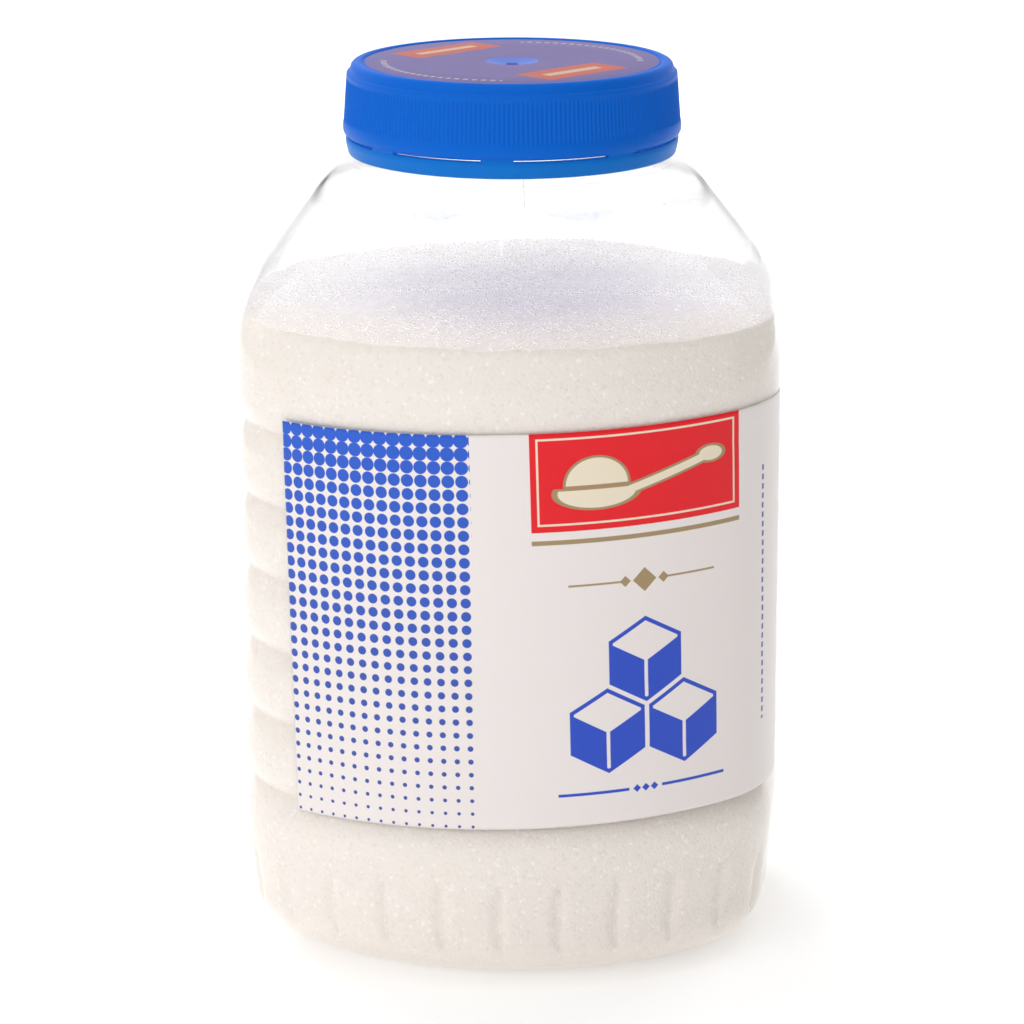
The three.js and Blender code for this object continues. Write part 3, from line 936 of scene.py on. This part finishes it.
# %% Cap body
CAP_STEPS = 912
KNURL_FROM_R = 32.2 * MM
SLIT_NEAR = 0.05 * MM
DISC_SKIN = 1.0 * MM
KNURLS = 228
KNURL_HEIGHT = 0.28 * MM
KNURL_LOW_Z = 163.9 * MM
KNURL_HIGH_Z = 172.4 * MM
KNURL_FADE = 0.5 * MM
DISC_Z = 175.2 * MM
DISC_R = 28.9 * MM
SLITS = 8
SLIT_LOW_Z = 160.72 * MM
SLIT_HIGH_Z = 161.08 * MM
SLIT_START = math.radians(3.4)
SLIT_SPAN = math.radians(34)


def cap_profile():
    shape = [(0, 174.6), (1.2, 174.6), (1.35, 174.4), (2.2, 174.5), (4.4, 174.95)]
    shape += [(5.1, 175.15), (5.6, 175.2), (10, 175.2), (20, 175.2), (28.9, 175.2)]
    shape += [(29.15, 175.1), (29.3, 174.9), (29.5, 174.95), (29.7, 175.3)]
    shape += [(29.9, 175.38), (30.3, 175.4), (30.8, 175.36), (31.3, 175.1), (31.6, 174.75)]
    shape += [(31.75, 174.3), (31.8, 173.75), (31.9, 173.5), (32.3, 173.4), (32.48, 173.2)]
    z = 172.9
    while z > 164.2:
        shape.append((32.5 + (173.2 - z) * 0.075, z))
        z -= 0.5
    shape += [(33.15, 164.2), (33.25, 163.8), (33.35, 163.2), (33.36, 162.5), (33.3, 161.9)]
    shape += [(33.1, 161.5), (32.75, 161.3), (32.6, 161.08), (32.6, 160.72)]
    shape += [(32.7, 160.55), (32.85, 160.3), (32.8, 159.6), (32.6, 158.6), (32.4, 157.75)]
    shape += [(32.2, 157.5), (31.5, 157.5), (31.35, 157.7), (31.35, 160.72)]
    shape += [(31.35, 161.08), (31.35, 171.4), (30.6, 172.6), (30.2, 172.7), (0, 172.7)]
    return [(radius * MM, z * MM) for radius, z in shape]


def knurl(bm):
    for vert in bm.verts:
        z = vert.co.z
        radius = math.hypot(vert.co.x, vert.co.y)
        if not KNURL_LOW_Z < z < KNURL_HIGH_Z or radius < KNURL_FROM_R:
            continue
        turn = math.atan2(vert.co.x, -vert.co.y)
        fade = min(1.0, (z - KNURL_LOW_Z) / KNURL_FADE, (KNURL_HIGH_Z - z) / KNURL_FADE)
        wave = 0.5 + 0.5 * math.cos(turn * KNURLS)
        grow = 1 - KNURL_HEIGHT * fade * (1 - wave) / radius
        vert.co.x *= grow
        vert.co.y *= grow


def in_slit(turn):
    return ((turn - SLIT_START) % (TURN / SLITS)) < SLIT_SPAN


def open_slits(bm):
    """Takes out the wall's two skins in each slit, and joins their edges through it."""
    middle = (SLIT_LOW_Z + SLIT_HIGH_Z) / 2
    cut = []
    for face in bm.faces:
        centre = face.calc_center_median()
        if abs(centre.z - middle) < SLIT_NEAR:
            if in_slit(math.atan2(centre.x, -centre.y)):
                cut.append(face)
    bmesh.ops.delete(bm, geom=cut, context="FACES")
    rims = [edge for edge in bm.edges if edge.is_boundary]
    for i in range(SLITS):
        heart = SLIT_START + SLIT_SPAN / 2 + i * TURN / SLITS
        own = []
        for edge in rims:
            centre = (edge.verts[0].co + edge.verts[1].co) / 2
            away = (math.atan2(centre.x, -centre.y) - heart + math.pi) % TURN - math.pi
            if abs(away) < TURN / SLITS / 2:
                own.append(edge)
        bmesh.ops.bridge_loops(bm, edges=own)
    print("slits opened:", SLITS, "faces cut:", len(cut))


def make_cap():
    bm = spin_profile(cap_profile(), CAP_STEPS)
    knurl(bm)
    open_slits(bm)
    bmesh.ops.recalc_face_normals(bm, faces=bm.faces)
    for face in bm.faces:
        centre = face.calc_center_median()
        flat = math.hypot(centre.x, centre.y) < DISC_R
        face.material_index = 1 if flat and centre.z > DISC_Z - DISC_SKIN else 0
    piece = finish_piece(bm, "screw_cap", [cap_plastic, disc_print])
    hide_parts("cap")
    return piece


make_cap()

# %% [markdown]
# ## Label
# The label is a printed film wrapped over the ribs, across the front and round one corner.
# It bridges the grooves and sinks into them only a little. A flat grid gets the print's own
# coordinates in millimetres, then it is bent onto the plan and given its thickness.

# %% Label inks
PAPER = srgb(238, 230, 227)
RED = srgb(233, 24, 36)
CREAM = srgb(240, 226, 202)
GOLD = srgb(166, 142, 104)
INK = srgb(42, 78, 196)
FINE_INK = srgb(96, 104, 168)
DOT_PITCH = 2.644
DOT_ROWS = 29.0
DOT_LOW_ROW = -24
DOT_SIZES = [(-24, 0.117), (-18.5, 0.206), (-12.5, 0.297), (-8.5, 0.365), (-2, 0.41),
             (1, 0.44), (3, 0.495), (5, 0.545)]


def halftone(bench, u, v):
    """The field of dots that grow from the label's foot to its top."""
    column, row = u / DOT_PITCH, v / DOT_PITCH
    near_column, near_row = bench.maths("ROUND", column), bench.maths("ROUND", row)
    du, dv = column - near_column, row - near_row
    away = bench.maths("SQRT", du * du + dv * dv)
    stops = [((row - DOT_LOW_ROW) / DOT_ROWS, (size, size, size, 1)) for row, size in DOT_SIZES]
    place = (near_row - DOT_LOW_ROW) / DOT_ROWS
    ramp = bench.node("ShaderNodeValToRGB", {"stops": stops}, Fac=place)
    size = bench.out(bench.node("ShaderNodeSeparateColor", Color=bench.out(ramp)))
    dots = bench.step(size - away, 0.0, 0.05)
    field = (column < 0.6) * (row > DOT_LOW_ROW - 0.5)
    return dots * field, place


def sugar_cube(bench, u, v, centre, size):
    """A cube seen from a corner: inked sides, and an open top within an outline."""
    slant = math.cos(math.radians(30))
    du, dv = u - centre[0], v - centre[1]
    wide = bench.maths("ABSOLUTE", du)
    tall = bench.maths("ABSOLUTE", dv)
    hexagon = bench.maths("MAXIMUM", wide, wide * 0.5 + tall * slant) - size * slant
    top = (dv - wide * math.tan(math.radians(30))) * slant
    inside = 1 - bench.step(hexagon, 0.0, SOFT)
    outline = bench.step(hexagon, -0.8, SOFT)
    sides = (1 - bench.step(top, -0.35, SOFT)) * bench.step(wide, 0.35, SOFT)
    return inside * bench.maths("MAXIMUM", outline, sides)


def spoon(bench, u, v):
    """Distance to a heaped spoon: bowl, handle and heap."""
    bowl = oval_distance(bench, u, v, (25.5, 2.4), (7.6, 3.0))
    bowl = bench.maths("MAXIMUM", bowl, v - 3.0)
    handle = rod_distance(bench, u, v, (32.0, 2.4), (50.0, 7.4), 0.75)
    tip = oval_distance(bench, u, v, (49.0, 7.1), (2.6, 1.4))
    heap = oval_distance(bench, u, v, (25.5, 3.9), (6.0, 5.2))
    heap = bench.maths("MAXIMUM", heap, 3.9 - v)
    whole = bench.maths("MINIMUM", bench.maths("MINIMUM", bowl, handle), tip)
    return bench.maths("MINIMUM", whole, heap)


# %% [markdown]
# ## The label's print
# On white film stand a field of blue dots that grow towards the top, a red panel with a
# heaped spoon, rules and diamonds in gold, three sugar cubes in blue ink, and a fine dashed
# line round the corner.

# %% Label finish
CUBE = 8.6
CUBES = ((26.6, -45.2), (42.4, -45.2), (34.5, -31.6))
GOLD_Z = -15.7
BLUE_Z = -57.6


def make_label_film():
    bench = Bench("printed_film")
    uv = bench.out(bench.node("ShaderNodeUVMap", {"uv_map": "print"}))
    split = bench.node("ShaderNodeSeparateXYZ", Vector=uv)
    u, v = bench.out(split, 0), bench.out(split, 1)
    dots, rise = halftone(bench, u, v)
    blue = bench.mix(bench.clamp01(rise), srgb(66, 82, 158), srgb(40, 92, 204))
    colour = bench.mix(dots, PAPER, blue)
    panel = box(bench, u, v, 12.8, -4.9, 55.8, 20.0)
    colour = bench.mix(panel, colour, RED)
    frame = box(bench, u, v, 14.0, -3.7, 54.6, 13.3)
    frame = frame - box(bench, u, v, 14.4, -3.3, 54.2, 12.9)
    colour = bench.mix(frame, colour, CREAM)
    shape = spoon(bench, u, v)
    colour = bench.mix(1 - bench.step(shape, 0.45, SOFT), colour, GOLD)
    colour = bench.mix(1 - bench.step(shape, 0.0, SOFT), colour, CREAM)
    rule = box(bench, u, v, 12.8, -7.4, 55.8, -6.5)
    rule = rule + box(bench, u, v, 19.5, -15.9, 30.0, -15.5)
    rule = rule + box(bench, u, v, 39.0, -15.9, 49.5, -15.5)
    for centre, reach in ((34.5, 2.4), (30.6, 1.1), (38.4, 1.1)):
        rule = rule + diamond(bench, u, v, (centre, GOLD_Z), reach)
    colour = bench.mix(bench.clamp01(rule), colour, GOLD)
    ink = sugar_cube(bench, u, v, CUBES[0], CUBE)
    ink = ink + sugar_cube(bench, u, v, CUBES[1], CUBE)
    ink = ink + sugar_cube(bench, u, v, CUBES[2], CUBE)
    ink = ink + box(bench, u, v, 16.6, -57.9, 30.6, -57.3)
    ink = ink + box(bench, u, v, 37.4, -57.9, 51.4, -57.3)
    for centre in (32.2, 34.0, 35.8):
        ink = ink + diamond(bench, u, v, (centre, BLUE_Z), 0.8)
    colour = bench.mix(bench.clamp01(ink), colour, INK)
    dash = bench.maths("FRACT", v / 1.9)
    dashes = box(bench, u, v, 62.9, -50.1, 63.6, 2.3) * (dash > 0.4)
    colour = bench.mix(dashes, colour, FINE_INK)
    film = bench.principled(
        Base_Color=colour, Roughness=0.4, IOR=1.47, Specular_IOR_Level=0.35,
    )
    return bench.finish(film)


label_film = make_label_film()

# %% [markdown]
# ## The label's sheet
# Film 0.09 mm thick is bent round the body by the plan's arc length, so that it keeps its
# true width. It was put on slightly askew, and it dips over each groove.

# %% Label sheet
LABEL_LEFT = -44.4 * MM
LABEL_RIGHT = 67.7 * MM
LABEL_LOW_Z = 34.8 * MM
LABEL_HIGH_Z = 113.1 * MM
LABEL_PIVOT = -6.6 * MM
LABEL_ORIGIN_Z = 98.8 * MM
LABEL_TILT = 0.0259
LABEL_OFF = 0.12 * MM
LABEL_FILM = 0.09 * MM
LABEL_SAG = 0.06 * MM
LABEL_SAG_HALF = 4.0 * MM
LABEL_COLUMNS = 220
LABEL_ROWS = 120


def make_label():
    bm = bmesh.new()
    bmesh.ops.create_grid(bm, x_segments=LABEL_COLUMNS, y_segments=LABEL_ROWS, size=0.5)
    layer = bm.loops.layers.uv.new("print")
    flat = {}
    for vert in bm.verts:
        across = LABEL_LEFT + (LABEL_RIGHT - LABEL_LEFT) * (vert.co.x + 0.5)
        up = LABEL_LOW_Z + (LABEL_HIGH_Z - LABEL_LOW_Z) * (vert.co.y + 0.5)
        flat[vert] = (across - LABEL_PIVOT, up - LABEL_ORIGIN_Z)
    for face in bm.faces:
        for loop in face.loops:
            across, up = flat[loop.vert]
            loop[layer].uv = (across / MM, up / MM)
    for vert, (across, up) in flat.items():
        arc = LABEL_PIVOT + across - up * LABEL_TILT
        z = LABEL_ORIGIN_Z + up + across * LABEL_TILT
        point, normal = plan_point(plan_angle(arc))
        near = min(abs(z - groove) for groove in GROOVE_ZS)
        sag = LABEL_SAG * max(0.0, 1 - near / LABEL_SAG_HALF) ** 2
        vert.co = point + normal * (LABEL_OFF - sag) + Vector((0, 0, z))
    bm.normal_update()
    bmesh.ops.solidify(bm, geom=list(bm.faces), thickness=LABEL_FILM)
    piece = finish_piece(bm, "wrap_label", [label_film])
    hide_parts("label")
    return piece


make_label()

# %% [markdown]
# ## Stage and light
# The jar stands on plain pale paper that curves up behind it. The paper glows a little, so
# that it reads white as in the photograph without more light on the jar itself.

# %% Floor
PAPER_TONE = (0.9, 0.9, 0.9, 1)
PAPER_GLOW = 0.23
FLOOR_LEFT = -3.0
FLOOR_WIDE = 6.0
FLOOR_PATH = [(-3.0, 0.0), (1.2, 0.0), (1.6, 0.08), (1.85, 0.3), (1.95, 0.7), (1.95, 3.0)]


def make_floor():
    bench = Bench("pale_floor")
    paper = bench.principled(
        Base_Color=PAPER_TONE,
        Roughness=0.9,
        Emission_Color=(1, 1, 1, 1),
        Emission_Strength=PAPER_GLOW,
    )
    finish = bench.finish(paper)
    bm = bmesh.new()
    verts = [bm.verts.new((FLOOR_LEFT, y, z)) for y, z in FLOOR_PATH]
    edges = [bm.edges.new(pair) for pair in zip(verts, verts[1:])]
    swept = bmesh.ops.extrude_edge_only(bm, edges=edges)
    far = [item for item in swept["geom"] if isinstance(item, bmesh.types.BMVert)]
    bmesh.ops.translate(bm, vec=(FLOOR_WIDE, 0, 0), verts=far)
    bmesh.ops.recalc_face_normals(bm, faces=bm.faces)
    mesh = bpy.data.meshes.new("floor")
    for face in bm.faces:
        face.smooth = True
    bm.to_mesh(mesh)
    bm.free()
    mesh.materials.append(finish)
    floor = bpy.data.objects.new("floor", mesh)
    scene.collection.objects.link(floor)


make_floor()


# %% [markdown]
# ## Lamps and sky
# Five large soft lamps model the product photograph's even light, brightest from behind the
# left. They don't show in reflections. The sky that lights the jar is dim and warm, while
# the room that the plastic bends and mirrors is white, as in a light tent.

# %% Lamps and sky
def add_lamp(name, at, aim, size, power):
    data = bpy.data.lights.new(name, "AREA")
    data.shape = "RECTANGLE"
    data.size, data.size_y = size
    data.energy = power
    data.color = COOL
    lamp = bpy.data.objects.new(name, data)
    lamp.location = at
    direction = Vector(aim) - Vector(at)
    lamp.rotation_euler = direction.to_track_quat("-Z", "Y").to_euler()
    lamp.visible_glossy = False
    lamp.visible_transmission = False
    scene.collection.objects.link(lamp)


JAR_MIDDLE = (0, 0, 0.09)
COOL = (0.97, 1.0, 1.02)
WARM = (1.0, 0.965, 0.945)
SKY_MEAN = 0.23
SKY_RISE = 0.23
SKY_LEFT = 0.2
ROOM_SEEN = 0.95
add_lamp("left_front", (-0.8, -0.8, 0.6), JAR_MIDDLE, (0.7, 0.7), 2.8)
add_lamp("high_front", (-0.1, -1.1, 0.7), JAR_MIDDLE, (0.7, 0.7), 2.5)
add_lamp("above", (0.0, -0.1, 1.1), JAR_MIDDLE, (0.9, 0.9), 3.0)
add_lamp("left_back", (-0.5, 0.9, 0.8), JAR_MIDDLE, (0.8, 0.5), 8.0)
add_lamp("right_back", (0.65, 0.95, 0.42), JAR_MIDDLE, (0.6, 0.5), 4.0)


def make_sky():
    """A white room that is lit most from above and from the left."""
    world = bpy.data.worlds.new("pale_sky")
    world.use_nodes = True
    tree = world.node_tree
    sky = tree.nodes["Background"]
    where = tree.nodes.new("ShaderNodeTexCoord")
    lean = tree.nodes.new("ShaderNodeVectorMath")
    lean.operation = "DOT_PRODUCT"
    lean.inputs[1].default_value = (-SKY_LEFT, 0, SKY_RISE)
    tree.links.new(where.outputs["Generated"], lean.inputs[0])
    level = tree.nodes.new("ShaderNodeMath")
    level.inputs[1].default_value = SKY_MEAN
    tree.links.new(lean.outputs["Value"], level.inputs[0])
    tint = tree.nodes.new("ShaderNodeVectorMath")
    tint.operation = "SCALE"
    tint.inputs[0].default_value = WARM
    tree.links.new(level.outputs[0], tint.inputs["Scale"])
    rays = tree.nodes.new("ShaderNodeLightPath")
    seen = tree.nodes.new("ShaderNodeMix")
    seen.data_type = "VECTOR"
    tree.links.new(rays.outputs["Is Diffuse Ray"], seen.inputs[0])
    seen.inputs[4].default_value = (ROOM_SEEN, ROOM_SEEN, ROOM_SEEN)
    tree.links.new(tint.outputs[0], seen.inputs[5])
    tree.links.new(seen.outputs[1], sky.inputs["Color"])
    scene.world = world


make_sky()
scene.view_settings.view_transform = "Standard"
